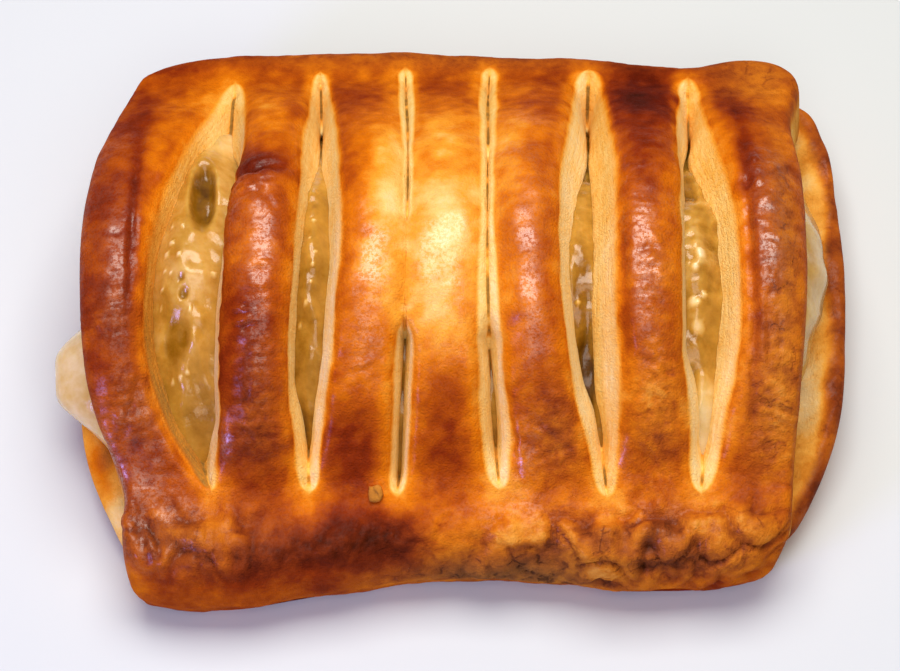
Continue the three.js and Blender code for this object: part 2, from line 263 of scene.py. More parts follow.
def baked_dough():
    """The group that colours and roughens every piece of dough. Browning runs from raw cream over
    gold and orange to mahogany, cut walls show pale leaves, and egg wash gives the shine."""
    group = bpy.data.node_groups.new("baked_dough", "ShaderNodeTree")
    for name in DOUGH_MARKS:
        group.interface.new_socket(name, in_out="INPUT", socket_type="NodeSocketFloat")
    group.interface.new_socket("Colour", in_out="OUTPUT", socket_type="NodeSocketColor")
    for name in ("Roughness", "Gloss", "Height"):
        group.interface.new_socket(name, in_out="OUTPUT", socket_type="NodeSocketFloat")
    given = group.nodes.new("NodeGroupInput").outputs
    put = group.nodes.new("NodeGroupOutput").inputs
    where = node(group, "TexCoord").outputs["Object"]

    # The browning, with soft clouds, specks and scorched spots in it.
    clouds = added(group, grain(group, where, 7.0), -0.5)
    specks = added(group, grain(group, where, 0.9, rough=0.6), -0.5)
    brown_and_painted_light = added(group, given["Browning"], times(group, clouds, 0.09))
    brown_and_painted_light = added(group, brown_and_painted_light, times(group, specks, 0.13))
    scorch = ranged(group, grain(group, where, 2.6, 5.0, 0.6), (0.44, 0.58), (-0.022, 0.022))
    brown_and_painted_light = added(group, brown_and_painted_light, times(group, scorch, added(group, given["Flaky"], 0.8)))

    # Cracks round its flakes: the bent edges of cells, broken off here and there.
    bend = node(group, "TexNoise", {"Vector": where, "Scale": 1 / (3.0 * MM), "Detail": 4.0})
    bent = node(group, "VectorMath", {0: bend.outputs["Color"], 1: (3.5 * MM,) * 3},
                operation="MULTIPLY")
    bent = node(group, "VectorMath", {0: where, 1: bent.outputs[0]}).outputs[0]
    cells = node(group, "TexVoronoi", {"Vector": bent, "Scale": 1 / (3.4 * MM)}, feature="DISTANCE_TO_EDGE")
    crack = ranged(group, cells.outputs["Distance"], (0.0, 0.08), (1.0, 0.0))
    broken = ranged(group, grain(group, where, 2.6, 3.0), (0.48, 0.6))
    crack = times(group, times(group, crack, broken), given["Flaky"])
    brown_and_painted_light = added(group, brown_and_painted_light, times(group, crack, 0.09))
    dry = times(group, given["Flaky"], 0.5)
    crust = blended(group, dry, graded(group, brown_and_painted_light, CRUST_STOPS), graded(group, brown_and_painted_light, DRY_STOPS))

    # The leaves of dough that a cut wall shows.
    lying = node(group, "SeparateXYZ", {"Vector": where}).outputs["Y"]
    leaf_place = node(group, "CombineXYZ", {"X": given["Leaf"], "Y": times(group, lying, 90.0)}).outputs[0]
    leaves = node(group, "TexNoise", {"Vector": leaf_place, "Scale": 1.6, "Detail": 3.0}).outputs["Fac"]
    tone = times(group, added(group, leaves, -0.5), 0.2)
    tone = added(group, added(group, tone, given["Browning"]), times(group, specks, 0.24))
    tone = added(group, tone, times(group, clouds, 0.3))
    inside = graded(group, tone, CUT_STOPS)
    group.links.new(blended(group, given["Cut"], crust, inside), put["Colour"])

    # Relief of the skin, its cracks and its leaves.
    pimples = times(group, grain(group, where, 0.32, 2.0), 0.55)
    skin = times(group, grain(group, where, 1.3, 3.0), 0.40)
    skin = added(group, skin, times(group, crack, -0.3))
    torn = times(group, times(group, leaves, 0.35), given["Cut"])
    group.links.new(added(group, added(group, pimples, skin), torn), put["Height"])

    # The egg wash makes it smoother, and shines between fine pores.
    dull = ranged(group, given["Wash"], (0.0, 1.0), (0.8, 0.38))
    group.links.new(added(group, dull, times(group, specks, 0.25)), put["Roughness"])
    pores = ranged(group, grain(group, where, 0.5, 2.0, 0.7), (0.42, 0.54), (0.22, 1.0))
    group.links.new(times(group, given["Wash"], pores), put["Gloss"])
    return group


def dough_material(name, bump):
    """Baked dough with its group, a coat of egg wash, and bump of a depth in millimetres."""
    made, tree, shader = material_of(name, DOUGH_SHADER)
    dough = tree.nodes.new("ShaderNodeGroup")
    dough.node_tree = BAKED_DOUGH
    for socket in DOUGH_MARKS:
        tree.links.new(mark(tree, socket.lower()), dough.inputs[socket])
    for socket, source in (("Base Color", "Colour"), ("Roughness", "Roughness"), ("Coat Weight", "Gloss")):
        tree.links.new(dough.outputs[source], shader.inputs[socket])
    relief = node(tree, "Bump", {"Height": dough.outputs["Height"], "Strength": 1.0, "Distance": bump * MM})
    tree.links.new(relief.outputs["Normal"], shader.inputs["Normal"])
    return made


BAKED_DOUGH = baked_dough()

u, v = [np.sin(np.linspace(-1, 1, count) * math.pi / 2) for count in BASE_GRID]
share, depth = np.meshgrid(u, v)
y = mixed(BASE_FRONT, BASE_BACK, (depth + 1) / 2)
x = np.abs(share) * np.where(share < 0, through(BASE_LEFT, y), through(BASE_RIGHT, y))
corner = np.abs(share) ** CORNER_ROUND[0] * np.sign(depth) * np.abs(depth) ** CORNER_ROUND[1]
y -= BASE_CORNER * corner
curl = ease(LIP_STARTS, 1, np.abs(share))
rise = curl * np.where(share < 0, through(LIP_LEFT, y), through(LIP_RIGHT, y))
half = mixed(BASE_THICKNESS, LIP_THICKNESS, curl) / 2
round_off = np.sqrt((1 - np.abs(share) ** BASE_EDGE_ROUND) * (1 - np.abs(depth) ** BASE_EDGE_ROUND))
middle = np.stack([x, wander(x, y), BASE_THICKNESS / 2 + rise], axis=-1)
middle[..., 2] += (0.35 * swell(middle, 16, 3) + 0.16 * swell(middle, 5, 4)) * curl
up = np.zeros_like(middle)
up[..., 2] = half * round_off
top = middle + up * (1 + 0.12 * swell(middle, 7, 5)[..., None])
bottom = middle - up * (1 - 0.05 * (1 - swell(middle, 9, 6)[..., None]) * (1 - curl[..., None]))
bottom[..., 2] = np.maximum(bottom[..., 2], 0)

# Its edges are browned, the rest of what shows stayed pale under the lid, and below it is brown.
edge_away = (1 - np.abs(share)) * np.abs(x / np.maximum(np.abs(share), 0.01))
outer_edge = ease(3.6, 1.2, edge_away + 0.5 * swell(middle, 14, 9))
front_edge = ease(0.975, 0.99, np.abs(depth))
edge_level = np.where(share < 0, 0.05, 0.31)
brown_top = 0.24 + edge_level * outer_edge + 0.05 * swell(middle, 7, 7) + 0.42 * front_edge * (1 - outer_edge)
brown_top += 0.08 * ease(52, 57, x) + 0.17 * ease(46, 50, x) * ease(-16, -26, y)
for *place, amount in BASE_BROWNING:
    brown_top += amount * spot(x, y, *place)
brown_bottom = 0.5 + 0.07 * swell(middle, 12, 8) + 0.2 * front_edge
base_corners, base_faces = closed_sheet(top, bottom)
base_marks = {
    "browning": both_sides(brown_top, brown_bottom),
    "cut": both_sides(0.5 * (1 - outer_edge) * (1 - front_edge), 0 * x),
    "leaf": both_sides(0 * x, 0 * x),
    "wash": both_sides(0.12 * outer_edge, 0 * x),
    "flaky": both_sides(0.7 * ease(40, 48, x), 0 * x),
}
piece("base_sheet", base_corners, base_faces, base_marks, dough_material("base_dough", 0.3), "crust")

# ---------------------------------------------------------------- filling
# Plain set custard with curds and bubbles in it, spooned over the middle of the base sheet. It fills
# the space under the lid, shows wet in the cuts, and has swelled out of both open ends in the oven.

FILLING_GRID = (250, 190)
FILLING_FRONT = -31.5
FILLING_BACK = 36.5
FILLING_FLOOR = 5.2
FILLING_EDGE_ROUND = 10
END_DROP = 5.0
END_DROP_RUN = (24, 54)
# Its roof as (y, z), and the outlines of its two ends as (y, x).
ROOF = [
    (-34, 6), (-30, 9.5), (-24, 16.5), (-15, 24.3), (-6, 28.4), (2.4, 29.8), (11, 28.6), (20, 24.3),
    (28, 18), (34, 12.5), (38, 8.5),
]
FILLING_LEFT = [(-36, -45), (-22, -51.6), (-10, -54.6), (8, -53.2), (24, -50), (38, -45)]
FILLING_RIGHT = [
    (-36, 45), (-22, 50.6), (-12, 52.4), (-4, 55.0), (8, 56.8), (18, 55.4), (26, 52.4), (38, 47),
]

# Where the custard has risen in the cuts: x, y, half width, half length and height of each bulge.
BULGES = [
    (-40.5, -4, 5, 20, 5.0), (-38.5, 19, 4, 8, 4.5), (-37.5, -3.5, 2.2, 1.6, 0.9),
    (-36.5, 28, 3.4, 5, 3.2), (-21.2, -4, 3, 21, 4.0), (-21.2, 2.6, 1.1, 1.1, 0.35),
    (18.6, -1, 2.4, 12, 1.6), (36.2, 0, 3.6, 15, 3.6), (36.8, -21, 3, 6.5, 3.0),
]
# Hollows that steam has left in it: x, y, half width, half length, depth and how much darker they are
# painted, as painted shade.
HOLLOWS = [
    (-41.2, -12.0, 2.0, 3.2, 0.9, 0.26), (-40.6, -3.8, 0.6, 0.6, 0.5, 0.3),
    (-40.2, -5.9, 0.7, 0.8, 0.6, 0.3), (-38.0, 11.4, 1.8, 6.4, 2.6, 0.34),
    (-37.8, -20, 2.2, 5, 0.5, 0.10), (-37.8, 14.6, 1.5, 2.6, 0.8, 0.16), (-23, -24, 1.3, 4, 0.8, 0.3),
    (18.9, -6, 1.4, 8, 0.5, 0.16), (19.6, -17, 1.6, 6, 1.6, 0.35), (35, -19, 1.2, 3, 0.6, 0.2),
    (35.4, 13, 1.4, 4, 1.0, 0.25),
]
# Bubbles and curds that stand out of it: x, y, radius and height.
BUBBLES = [
    (-43.7, -7.0, 0.3, 0.25), (-43.5, -4.8, 0.35, 0.3), (-43.2, -1.9, 0.35, 0.3), (-43.0, 0.6, 0.5, 0.4),
    (-42.4, 5.7, 0.35, 0.3), (-42.3, 2.2, 0.5, 0.45), (-42.2, -2.9, 0.3, 0.25), (-41.9, -17.0, 0.35, 0.3),
    (-41.0, -0.2, 0.5, 0.45), (-40.7, -16.9, 0.4, 0.3), (-40.7, 5.0, 0.35, 0.3), (-39.6, -16.3, 0.4, 0.3),
    (-39.2, -8.2, 0.35, 0.25), (-35.8, -2.9, 0.45, 0.4), (-22.9, -11, 0.35, 0.3), (-22, -8.6, 0.4, 0.3),
    (-21.5, 1.2, 0.3, 0.2), (-21.2, -5.7, 0.3, 0.25), (-21, -3.2, 0.35, 0.3), (-21, 4.7, 0.4, 0.3),
    (-20.6, -1.3, 0.35, 0.3), (17.9, -13, 0.35, 0.3), (18.3, -7.2, 0.5, 0.4), (35.5, -7, 1.1, 0.5),
    (35.7, -2.4, 0.7, 0.4), (36.1, -10.4, 1.2, 0.5), (36.6, -0.2, 1.0, 0.5), (37.0, -6, 0.6, 0.4),
]

# Where it is paler, with curds: x, y, half width, half length and how much. Then the lumpy part.
CURDS = [(37, -24, 4, 7, 0.6), (-35, 27, 4, 6, 0.25), (-21, 12, 3, 14, 0.05)]
LUMPY = (36, 1, 5, 14)
# How uneven its left and right end faces are.
END_UNEVEN = (-0.06, 0.35)
# The blob at the left end, as two swells that run together: y, z, half width, half height and how
# far out.
BLOB = [(-10.8, 12.6, 7.8, 6.8, 6.2), (-17.6, 12.0, 4.6, 6.0, 0.8)]

CUSTARD_STOPS = [(0.0, 0x5E3A06), (0.25, 0x946510), (0.5, 0xC4933A), (0.75, 0xE2BC72), (1.0, 0xF8E2B6)]
CUSTARD_SHADER = {"Roughness": 0.22, "Coat Weight": 0.3, "Coat Roughness": 0.08, "Subsurface Weight": 0.35,
                  "Subsurface Radius": (0.004, 0.003, 0.0012), "Subsurface Scale": 1.0}


def filling_material():
    """Wet, half clear custard: olive yellow where it is thick, and darker honey brown in its hollows as
    painted shade, with pale curds, and a wet shine."""
    made, tree, shader = material_of("custard", CUSTARD_SHADER)
    where = node(tree, "TexCoord").outputs["Object"]
    clouds = grain(tree, where, 6.0)
    curds = grain(tree, where, 1.6, 3.0)
    tone = added(tree, times(tree, added(tree, clouds, -0.5), 0.55), mark(tree, "curd_and_shade"))
    tone = added(tree, tone, times(tree, added(tree, curds, -0.5), 0.3))
    tree.links.new(graded(tree, tone, CUSTARD_STOPS), shader.inputs["Base Color"])
    relief = node(tree, "Bump", {"Height": curds, "Strength": 1.0, "Distance": 0.15 * MM})
    tree.links.new(relief.outputs["Normal"], shader.inputs["Normal"])
    return made


def end_drop(x):
    """How much lower the lid and the filling under it lie toward both open ends."""
    return END_DROP * ease(*END_DROP_RUN, np.abs(x))


def crowded(count, ends, places):
    """count places from -1 to 1, closer together at both ends by a factor and round the given
    (place, half width, factor) ones."""
    even = np.linspace(-1, 1, 2000)
    crowd = 1 + ends * np.exp(-(((1 - np.abs(even)) / 0.03) ** 2))
    for place, half_width, factor in places:
        crowd = crowd + factor * np.exp(-(((even - place) / half_width) ** 2))
    counted = np.cumsum(crowd)
    return np.interp(np.linspace(counted[0], counted[-1], count), counted, even)


u = crowded(FILLING_GRID[0], 4, [(-0.75, 0.09, 5), (-0.4, 0.045, 5), (0.35, 0.04, 5), (0.67, 0.05, 5)])
v = crowded(FILLING_GRID[1], 4, [])
share, depth = np.meshgrid(u, v)
y = mixed(FILLING_FRONT, FILLING_BACK, (depth + 1) / 2)
x = np.abs(share) * np.where(share < 0, through(FILLING_LEFT, y), through(FILLING_RIGHT, y))
roof = through(ROOF, y) - end_drop(x) * ease(0, 0.5, 1 - np.abs(depth))
flat = np.stack([x, y, np.zeros_like(x)], axis=-1)
curd_and_shade = 0 * x
for *place, lift in BULGES:
    roof += lift * spot(x, y, *place)
roof += 0.3 * swell(flat, 9, 21) + 0.12 * swell(flat, 3.0, 22)
# Each hollow sinks the roof and is painted darker, as painted shade.
for middle_x, middle_y, wide, long, sink, painted_shade in HOLLOWS:
    inside = np.exp(-((((x - middle_x) / wide) ** 2 + ((y - middle_y) / long) ** 2) ** 2.4))
    roof -= sink * inside
    curd_and_shade -= painted_shade * inside
for middle_x, middle_y, radius, height in BUBBLES:
    inside = np.clip(1 - ((x - middle_x) ** 2 + (y - middle_y) ** 2) / radius**2, 0, 1)
    roof += height * np.sqrt(inside)
    curd_and_shade += 0.5 * inside
for *place, amount in CURDS:
    curd_and_shade += amount * spot(x, y, *place, steep=4)
lumpy = spot(x, y, *LUMPY, steep=4)
lump = swell(flat, 3.6, 27) + 0.5 * swell(flat, 1.7, 28)
roof += 0.13 * lumpy * lump
curd_and_shade += lumpy * (0.10 + 0.07 * lump)
curd_and_shade += 0.55 + (0.28 - 0.04 * np.sign(x)) * ease(46, 52, np.abs(x))
curd_and_shade -= 0.08 * ease(0, -20, y) + 0.14 * ease(-32, -26, x)

# It is closed by a roof and a floor that meet in a swollen rim.
round_off = np.sqrt((1 - np.abs(share) ** FILLING_EDGE_ROUND) * (1 - np.abs(depth) ** FILLING_EDGE_ROUND))
level = mixed(FILLING_FLOOR, roof, np.where(share < 0, 0.42, 0.5))
top = np.stack([x, y, mixed(level, roof, round_off)], axis=-1)
bottom = np.stack([x, y, mixed(level, FILLING_FLOOR, round_off)], axis=-1)
for side in (top, bottom):
    side[..., 0] += np.where(share < 0, *END_UNEVEN) * ease(0.88, 0.96, np.abs(share)) * swell(side, 8, 25)
    lump = 1 + 0.05 * swell(side, 9, 23)
    for middle_y, middle_z, wide, high, out in BLOB:
        away = ((y - middle_y) / wide) ** 2 + ((side[..., 2] - middle_z) / high) ** 2
        side[..., 0] -= out * np.exp(-(away**1.5)) * ease(-0.8, -0.97, share) * lump
corners, faces = closed_sheet(top, bottom)
curd_and_shade_mark = {"curd_and_shade": both_sides(curd_and_shade, curd_and_shade)}
piece("custard_filling", corners, faces, curd_and_shade_mark, filling_material(), "filling")

# ---------------------------------------------------------------- lid
# The upper sheet of laminated dough, laid over the filling, pressed down along the front and back,
# slashed six times and washed with egg. The seven bands between the cuts have puffed and browned.

# The lid's section, front hem to back hem: (y, z) of its outer face and of its inner one.
LID_SECTION = [
    (-41.2, 2.0, -39.8, 3.4),
    (-43.0, 8.0, -38.5, 5.2),
    (-40.1, 14.0, -35.0, 5.4),
    (-32.1, 16.5, -30.2, 7.5),
    (-25.6, 23.5, -20.8, 18.6),
    (-18.1, 31.0, -14.2, 25.2),
    (-8.6, 36.2, -6.3, 29.6),
    (2.4, 38.0, 2.2, 31.0),
    (13.4, 36.4, 11.4, 29.7),
    (23.4, 31.8, 19.8, 25.8),
    (32.4, 25.0, 28.2, 19.2),
    (38.4, 20.5, 35.2, 10.0),
    (44.4, 18.6, 38.4, 5.8),
    (47.0, 11.5, 41.6, 5.4),
    (45.6, 2.0, 43.6, 3.4),
]
# Where the lid's free ends lie, as (walk along it from its crown, x).
LID_LEFT = [
    (-64, -46.2), (-57, -48), (-50, -49), (-42, -49.0), (-35, -51.2), (-22, -54.2), (-8, -55.5),
    (6, -55.6), (21, -53.8), (33, -51.8), (41, -50.2), (44, -48.8), (47, -46.6), (51, -43.8), (57, -41.8),
    (64, -41),
]
LID_RIGHT = [
    (-64, 45), (-57, 48), (-51, 49.6), (-43, 50), (-25, 51), (-8, 52.2), (12, 52.6), (32, 52.4),
    (38, 53.8), (42, 54.4), (45, 53.8), (48, 51.8), (53, 48.0), (64, 44.6),
]

# Each cut: the depths y where it "ends" in front and behind, and its "left" and "right" lip as (y, x).
# How far each wall leans in on its way down, and how browned it is, are (in front, behind) for the left
# wall and then for the right one. "gold" is how far the gold of its edge runs onto the band at its left
# and at its right. "tips" and "meets" are how far in from its ends its floor is shallow and its walls
# have come together. A "bridge" is where the cut has stayed shut: from y, to y, what is left of its width
# and of its depth. A "groove" is where it is only shallow: from y, to y, what is left of its depth.
CUTS = [
    {"ends": (-32.1, 37.4), "lean": ((1.4, 1.8), (1.2, 1.3)), "wall": ((0.53, 0.18), (0.15, 0.15)),
     "gold": (2.0, 0.4), "tips": (4.5, 7.5), "meets": (7, 15),
     "left": [(-32, -37.6), (-27, -41.4), (-20, -44.8), (-8, -46.4), (3, -45.4), (14, -42.8),
              (25, -39.6), (37, -36)],
     "right": [(-32, -34.4), (-20, -34.6), (0, -33.6), (22, -31.9), (31, -32), (37, -32.8)]},
    {"ends": (-32.3, 40.0), "lean": ((1.3, 2.6), (2.6, 2.8)), "wall": ((0.18, 0.16), (0.10, 0.12)),
     "gold": (2.0, 0.5), "tips": (6, 7), "meets": (12, 20),
     "left": [(-32, -23.2), (-26, -24.5), (-18, -24.8), (0, -23.9), (20, -23.1), (31, -22.9),
              (40, -22.3)],
     "right": [(-32, -19.9), (-26, -19.0), (-10, -17.1), (2, -16.5), (18, -17.4), (31, -18.5),
               (40, -20)]},
    {"ends": (-32.8, 41.0), "lean": ((1.7, 2.0), (1.7, 1.9)), "wall": ((0.12, 0.16), (0.10, 0.14)),
     "gold": (3.0, 1.0), "tips": (4, 4), "meets": (23, 8),
     "bridge": (-13, 2, 0.02, 0.03), "groove": (2, 41, 0.17),
     "left": [(-32, -10), (-20, -9.2), (-8, -8.1), (5, -7.9), (20, -8.2), (33, -8.9), (40, -9.0)],
     "right": [(-32, -7.0), (-27, -6.4), (-18, -5.9), (-8, -6.4), (2, -6.2), (14, -6.0), (30, -6.0),
               (40, -6.4)]},
    {"ends": (-31.9, 41.3), "lean": ((2.0, 2.2), (2.8, 2.2)), "wall": ((0.12, 0.18), (0.10, 0.18)),
     "gold": (2.0, 0.6), "tips": (5, 4), "meets": (24, 8), "groove": (-13, 41, 0.19),
     "left": [(-32, 4.6), (-27, 3.6), (-18, 2.9), (0, 3.3), (20, 3.6), (34, 3.6), (41, 4.1)],
     "right": [(-32, 8.8), (-27, 8.5), (-18, 7.7), (-5, 6.5), (10, 6.3), (25, 6.7), (41, 7.0)]},
    {"ends": (-33.0, 41.3), "lean": ((1.6, 3.8), (3.9, 3.9)), "wall": ((0.08, 0.10), (0.19, 0.22)),
     "gold": (2.2, 0.5), "tips": (6.5, 6), "meets": (12, 26),
     "left": [(-33, 20.9), (-27, 19.0), (-18, 16.6), (-8, 15.3), (8, 15.2), (22, 16.6), (35, 18.2),
              (41, 19.2)],
     "right": [(-33, 24.3), (-29, 24.6), (-10, 24.2), (8, 24.6), (20, 24.4), (33, 23.8), (41, 23.2)]},
    {"ends": (-32.4, 38.6), "lean": ((1.0, 1.3), (3.0, 4.0)), "wall": ((0.06, 0.10), (0.15, 0.22)),
     "gold": (1.6, 2.6), "tips": (6, 7), "meets": (17, 17),
     "left": [(-32, 34.6), (-27, 34.1), (-15, 33.4), (5, 33.6), (20, 33.7), (32, 34.3), (38, 35)],
     "right": [(-32, 38.4), (-28, 39.6), (-20, 41.5), (-8, 42.7), (5, 42.4), (14, 41.4), (25, 39.5),
               (38, 38.4)]},
]
BANDS = len(CUTS) + 1
WALL_COLUMNS = 8
TOP_COLUMNS = 30
LID_ROWS = 276
UNDER_COLUMNS = 5
UNDER_FLOOR = 3.0
CUT_TIP_FLOOR = 0.20
RIGHT_THROUGH = 0.93
LEAST_GAP = 0.3
END_LEAN = 0.6
WALL_REACH = 0.95
LEAVES = 7
# For each band: how far its middle stands over its edges, how far it has lifted, and where it lies and
# how brown it is.
CROWN = np.array([1.7, 2.1, 1.4, 1.0, 1.6, 1.7, 1.7])[:, None]
BAND_LIFT = np.array([0.0, 0.7, 0.1, -0.3, 0.2, 0.6, 0.0])[:, None]
BAND_X = [-50, -29, -14, -1, 11, 29, 46]
BAND_BROWN = [0.58, 0.60, 0.52, 0.42, 0.51, 0.55, 0.55]
# How brown the gold at the cuts' edges, at their ends and down beside them is, and the painted shade
# of the dark line where their walls have come together. The gold round their ends reaches this far
# across and along.
GOLD_LEVEL = 0.34
TIP_LEVEL = 0.31
BESIDE_LEVEL = 0.3
CRACK_SHADE_LEVEL = 0.72
TIP_GOLD = (3.0, 3.4)
# The marks of its inner face, which stayed pale and leafy. Those not named here are 0.
INNER_MARKS = {"browning": 0.15, "cut": 1.0}

# All the tables from here on are given on the unrolled lid: x, and the walk along it from its crown,
# which is negative toward the front. Then come half width and half length, and how much.
# Where it is browner or paler: mostly as the oven has left it, with some painted shade and painted
# highlight where said:
BROWNING_AND_PAINTED_LIGHT = [
    # on the front rim; the small dark spots in its creases from x 22 to 44, and the dark and pale
    # patches on its hem at walk -58, are painted shade
    (-44, -46, 7, 3, -0.08), (-42, -47, 9, 5, 0.08), (-36, -50, 10, 3, 0.08), (-28, -51, 7, 3, 0.14),
    (-13, -50, 9, 6, 0.28), (-12, -51, 9, 5, 0.1), (-2, -48, 5, 3, -0.06), (5, -58, 10, 4, 0.4),
    (5, -57.5, 14, 3, -0.02), (8, -58, 12, 5, -0.12), (9, -46, 5, 4, -0.22), (9, -46, 6, 5, 0.07),
    (9, -46, 6, 4, 0.05), (22, -50, 4, 2, 0.10), (22.5, -58, 2.6, 1.1, 0.2), (24, -45, 4, 3, -0.10),
    (28, -53.8, 3.2, 1.0, 0.2), (28, -50.6, 2.6, 1.2, 0.16), (30, -56, 14, 4, -0.02),
    (30, -50, 16, 5, 0.06), (36, -52, 8, 4, 0.05), (39, -58.5, 1.2, 3.2, 0.2), (40, -45, 4, 3, -0.04),
    (44.2, -57, 1.4, 1.2, 0.14),
    # on the back rim
    (-40, 46, 14, 5, 0.05), (0, 47, 12, 4, 0.12), (20, 46, 20, 5, 0.02), (47, 40, 7, 8, -0.12),
    # on the bands; the paler patches on the crests of bands two, three and six are painted highlight,
    # and the pale gold of band four is partly its own colour and partly painted highlight
    (-53, -2, 3, 18, 0.10), (-50, 24, 3, 8, 0.08), (-49, -14, 4, 7, 0.10), (-48, 8, 1.1, 18, 0.16),
    (-47, -36, 4, 7, 0.08), (-44.5, 2, 1.6, 22, -0.10), (-41, 30, 5, 9, -0.14), (-36, 12, 1.0, 26, -0.1),
    (-36, 33, 3, 9, -0.25), (-30, -25, 5, 12, 0.10), (-30, -5, 3, 7, -0.12), (-29, -2, 5, 10, 0.03),
    (-29, 9.5, 4, 2.5, 0.22), (-29, 28, 4, 13, -0.17), (-29, 30, 5, 10, -0.05), (-16, 31, 3, 4, 0.14),
    (-15, 38, 3, 4, -0.08), (-14, -36, 5, 7, 0.16), (-13, -10, 3, 8, -0.06), (-10, 8, 3, 14, -0.22),
    (-2, -3, 8, 15, -0.26), (-2, 20, 5, 8, -0.10), (-2, 24, 6, 8, 0.06), (-2, 38, 4, 6, 0.14),
    (-1, -38, 4, 8, 0.20), (-1, -28, 3, 6, 0.16), (8, 15, 3, 12, -0.16), (10.4, -4, 3.4, 14, -0.02),
    (11, -4, 3, 12, 0.01), (14, -31, 4, 5, 0.14), (15, 36, 4, 8, 0.07), (28, -10, 3, 6, 0.06),
    (28, 12, 2, 8, 0.10), (28.4, -4, 2.6, 9, -0.06), (29, 30, 5, 14, 0.10), (29, 32, 6, 16, 0.18),
    (29, 33, 5, 8, 0.04), (30, -28, 4, 9, -0.06), (32, 2, 2, 10, -0.10), (40, 38, 9, 6, 0.08),
    (41, 6, 2, 16, -0.20), (41, 33, 3, 8, 0.16), (43.8, 24, 1.6, 16, 0.13), (44, -14, 1.2, 20, 0.09),
    (44, 16, 4, 8, 0.05), (44, 36, 6, 8, -0.06), (46, 0, 3, 30, 0.03), (47, 4, 3, 8, 0.02),
    (48, -28, 4, 10, -0.06),
]
# Where it is wrinkled across the bands:
FURROWED = [
    (-51, -14, 3, 4, 1.0), (-51, -2, 2.6, 8, 0.5), (-50, -28, 3, 6, 0.5), (-30, 4, 4, 2.5, 0.8),
    (-29, -33, 4, 5, 0.6), (-29, -16, 4, 7, 0.9), (-29, -6, 3.4, 6, 0.35), (-15, -22, 3, 6, 0.4),
    (28, 2, 3, 12, 0.5), (29, -28, 3, 8, 0.4), (29, -11, 3, 6, 0.6), (47, -30, 3, 8, 0.6),
    (47, -6, 3, 12, 0.5),
]
# Where it has flaked:
FLAKY = [
    (-50, -14, 3, 5, 0.4), (-46, -27, 4, 7, 0.5), (-40, -48, 12, 4, 0.9), (-29, -34, 4, 5, 0.4),
    (-29, -26, 3, 8, 0.3), (-15, -50, 14, 3, 0.4), (6, -59, 16, 4, 0.5), (15, -34, 4, 7, 0.7),
    (24, -51, 18, 5, 1.2), (29, -10, 3, 6, 0.3), (30, -30, 4, 10, 0.7), (40, -50, 8, 5, 0.9),
    (47, -26, 4, 14, 0.7), (49, 4, 2.6, 20, 0.3),
]
# Where it has stayed dull and floury; the strong patch on its hem at x 8 greys the underside that
# turns away from the light, as painted shade:
DUSTY_AND_SHADE = [
    (0, 47, 30, 4, 0.7), (8, -58.5, 15, 4.5, 1.7), (46, -30, 5, 12, 0.3), (48, 42, 8, 9, 0.9),
    (49, -2, 2.6, 24, 0.7),
]
# Where the egg wash has pooled and baked to a shine, or is missing:
WASHED = [
    (-51, 0, 3.2, 14, 0.8), (-47.5, -37, 4.5, 9, 1.0), (-44, -48, 5, 4, 0.14), (-40, -46, 8, 3, 0.1),
    (-34, -34, 1.3, 3.4, 1.0), (-33.2, -16, 1.8, 10, -0.7), (-29.2, -22, 3, 6, 0.45),
    (-29.2, -4, 3.2, 9, 1.4), (-13.4, -20, 2.4, 5, 0.7), (-12.6, -7, 3.2, 9, 0.85), (-1, -4, 6, 14, 0.7),
    (8.2, -18, 1.4, 11, -0.5), (9, -46, 6, 4, 0.2), (10.4, -37, 1.5, 4, 0.9), (10.4, -4, 3.6, 17, 1.3),
    (25, -37, 1.0, 3, 0.5), (25, -22, 1.2, 11, -0.5), (28.4, -5, 3.2, 12, 1.15), (30, -47, 8, 3, 0.15),
    (46.6, 2, 3, 10, 1.3),
]
# Where a band has blown up like a cushion with a steep edge: how high, and how much browner it is:
PUFFED = [
    (-50.5, -8, 4.2, 26, 0.6, 0.02), (-29.6, -17, 5.6, 25, 0.9, 0.02), (10.6, -6, 3.6, 24, 0.35, 0.04),
    (46.8, 3, 3.6, 14, 0.35, 0.02),
]
# Where it stands higher, in a soft hump:
LIFTS = [
    (-50, -6, 5, 16, 0.5), (-40, -46, 9, 3, 0.3), (-29, -8, 5, 15, 0.3), (-2, 2, 9, 18, 0.3),
    (10.5, -4, 4, 18, 0.4), (24, -48.6, 4, 1.3, 0.6), (28, -6, 4, 12, 0.4), (30, -48.4, 3.4, 1.3, 0.7),
    (34.6, -51, 2.6, 1.5, 0.6), (38, -50, 7, 4, 0.5), (46.5, 3, 4, 12, 0.4),
]
